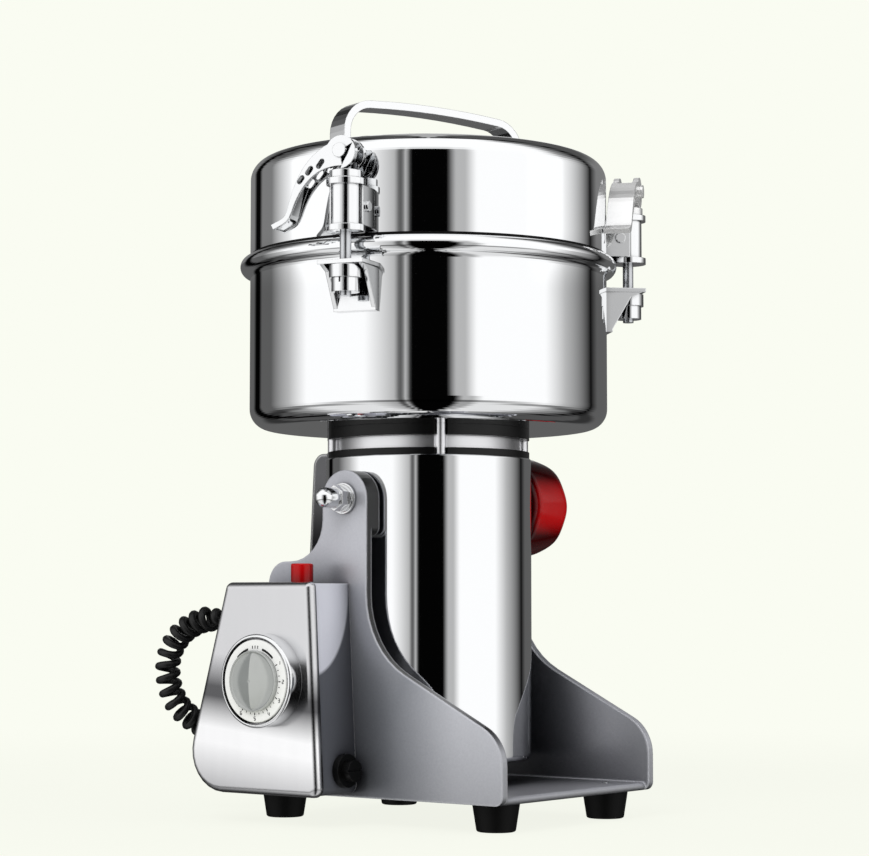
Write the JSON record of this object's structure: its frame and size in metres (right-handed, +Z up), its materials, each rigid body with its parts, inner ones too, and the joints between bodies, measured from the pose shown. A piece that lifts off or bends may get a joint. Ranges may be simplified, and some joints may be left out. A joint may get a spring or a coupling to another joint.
{
  "type": "electric grain mill",
  "caption": "Tilting electric grain mill: a round steel grinding bowl with a latched lid on a motor, held in a U frame with a timer box at its side.",
  "frame": {"origin": "on the floor, under the motor's axis, at the level of the feet's soles", "axes": "+Z up along the motor's axis, -Y to the open front of the frame, -X to the control box"},
  "size_m": [0.2524, 0.2473, 0.428],
  "materials": {
    "frame_paint": "satin silver-grey paint on a casting",
    "box_paint": "satin light grey paint",
    "polished_steel": "mirror-polished stainless steel",
    "bright_steel": "bright plated steel",
    "plain_steel": "plain turned steel",
    "cover_steel": "polished sheet steel, slightly soft",
    "black_rubber": "matt black rubber",
    "black_plastic": "black plastic",
    "cord_black": "black cord jacket, slightly glossy",
    "red_plastic": "glossy deep red",
    "grey_plastic": "grey satin plastic",
    "dial_white": "white printed disc",
    "pale_plastic": "pale moulded plastic",
    "core_iron": "stacked lamination steel",
    "copper": "enamelled copper wire",
    "glass_tube": "clear fuse glass"
  },
  "bodies": {
    "base": {"base_frame": "frame_paint", "rubber_feet": "black_rubber", "frame_screws": "plain_steel", "control_box": "box_paint", "box_cover": "cover_steel", "timer_bezel": "bright_steel", "dial_plate": "dial_white", "timer_body": "pale_plastic", "fuse_socket": "black_plastic", "breaker_body": "black_plastic", "terminal_block": "pale_plastic", "box_gland": "black_plastic", "power_gland": "black_plastic", "curly_cord": "cord_black"},
    "timer_knob": {"timer_knob": "grey_plastic"},
    "reset_button": {"reset_button": "red_plastic"},
    "fuse_cap": {"fuse_cap": "black_plastic", "fuse_cartridge": "glass_tube"},
    "head": {"motor_housing": "polished_steel", "bottom_cap": "black_plastic", "neck_rings": "black_plastic", "neck_spacer": "bright_steel", "neck_posts": "bright_steel", "pivot_pads": "plain_steel", "pivot_bolt": "plain_steel", "cap_nut": "bright_steel", "field_core": "core_iron", "field_windings": "copper", "bearings": "plain_steel", "brush_holders": "pale_plastic", "bowl": "polished_steel", "latch_keepers": "bright_steel", "latch_nuts": "bright_steel", "shaft_seal": "black_rubber", "wiring_cover": "cover_steel", "motor_gland": "black_plastic"},
    "clamp": {"clamp_knob": "red_plastic", "clamp_stud": "plain_steel"},
    "rotor": {"motor_shaft": "plain_steel", "armature": "core_iron", "commutator": "copper", "cooling_fan": "black_plastic", "lower_blade": "plain_steel", "middle_blade": "plain_steel", "upper_blade": "plain_steel", "blade_spacers": "plain_steel", "blade_nut": "plain_steel"},
    "lid": {"lid": "polished_steel", "lid_gasket": "black_rubber", "lid_handle": "bright_steel", "latch_mounts": "bright_steel"},
    "latch_1": {"latch_collar_1": "bright_steel", "latch_rod_1": "plain_steel"},
    "lever_1": {"latch_lever_1": "bright_steel"},
    "latch_2": {"latch_collar_2": "bright_steel", "latch_rod_2": "plain_steel"},
    "lever_2": {"latch_lever_2": "bright_steel"},
    "latch_3": {"latch_collar_3": "bright_steel", "latch_rod_3": "plain_steel"},
    "lever_3": {"latch_lever_3": "bright_steel"}
  },
  "joints": [
    {"name": "tilt", "type": "hinge", "parent": "base", "child": "head", "pos_m": [0, 0.0025, 0.1875], "axis": [1, 0, 0], "range_deg": [0, 90], "deforming": ["curly_cord"]},
    {"name": "motor_spin", "type": "hinge", "parent": "head", "child": "rotor", "pos_m": [0, 0, 0.15], "axis": [0, 0, 1], "continuous": true},
    {"name": "clamp_turn", "type": "hinge", "parent": "head", "child": "clamp", "pos_m": [0.09, 0.0025, 0.1875], "axis": [1, 0, 0], "range_deg": [0, 360]},
    {"name": "timer_turn", "type": "hinge", "parent": "base", "child": "timer_knob", "pos_m": [-0.12, 0.03, 0.0828], "axis": [-1, 0, 0], "range_deg": [0, 300]},
    {"name": "reset_press", "type": "slide", "parent": "base", "child": "reset_button", "axis": [0, 0, -1], "range_m": [0, 0.0025], "stiffness_N_per_m": 600, "springref_m": -0.001},
    {"name": "fuse_cap_turn", "type": "hinge", "parent": "base", "child": "fuse_cap", "pos_m": [-0.0875, -0.0068, 0.0318], "axis": [0, -0.9985, 0.0541], "range_deg": [0, 90]},
    {"name": "lid_lift", "type": "slide", "parent": "head", "child": "lid", "axis": [0, 0, 1], "range_m": [0, 0.2]},
    {"name": "latch_turn_1", "type": "hinge", "parent": "lid", "child": "latch_1", "pos_m": [-0.1192, -0.03418, 0.36], "axis": [0, 0, 1], "range_deg": [0, 180]},
    {"name": "lever_flip_1", "type": "hinge", "parent": "latch_1", "child": "lever_1", "pos_m": [-0.1192, -0.03418, 0.3796], "axis": [0.9613, 0.2756, 0], "range_deg": [0, 120]},
    {"name": "latch_turn_2", "type": "hinge", "parent": "lid", "child": "latch_2", "pos_m": [0.0892, -0.08614, 0.36], "axis": [0, 0, 1], "range_deg": [0, 180]},
    {"name": "lever_flip_2", "type": "hinge", "parent": "latch_2", "child": "lever_2", "pos_m": [0.0892, -0.08614, 0.3796], "axis": [-0.4285, 0.9035, 0], "range_deg": [-12, 108]},
    {"name": "latch_turn_3", "type": "hinge", "parent": "lid", "child": "latch_3", "pos_m": [0.03, 0.12032, 0.36], "axis": [0, 0, 1], "range_deg": [0, 180]},
    {"name": "lever_flip_3", "type": "hinge", "parent": "latch_3", "child": "lever_3", "pos_m": [0.03, 0.12032, 0.3796], "axis": [-0.2419, -0.9703, 0], "range_deg": [0, 120]}
  ]
}
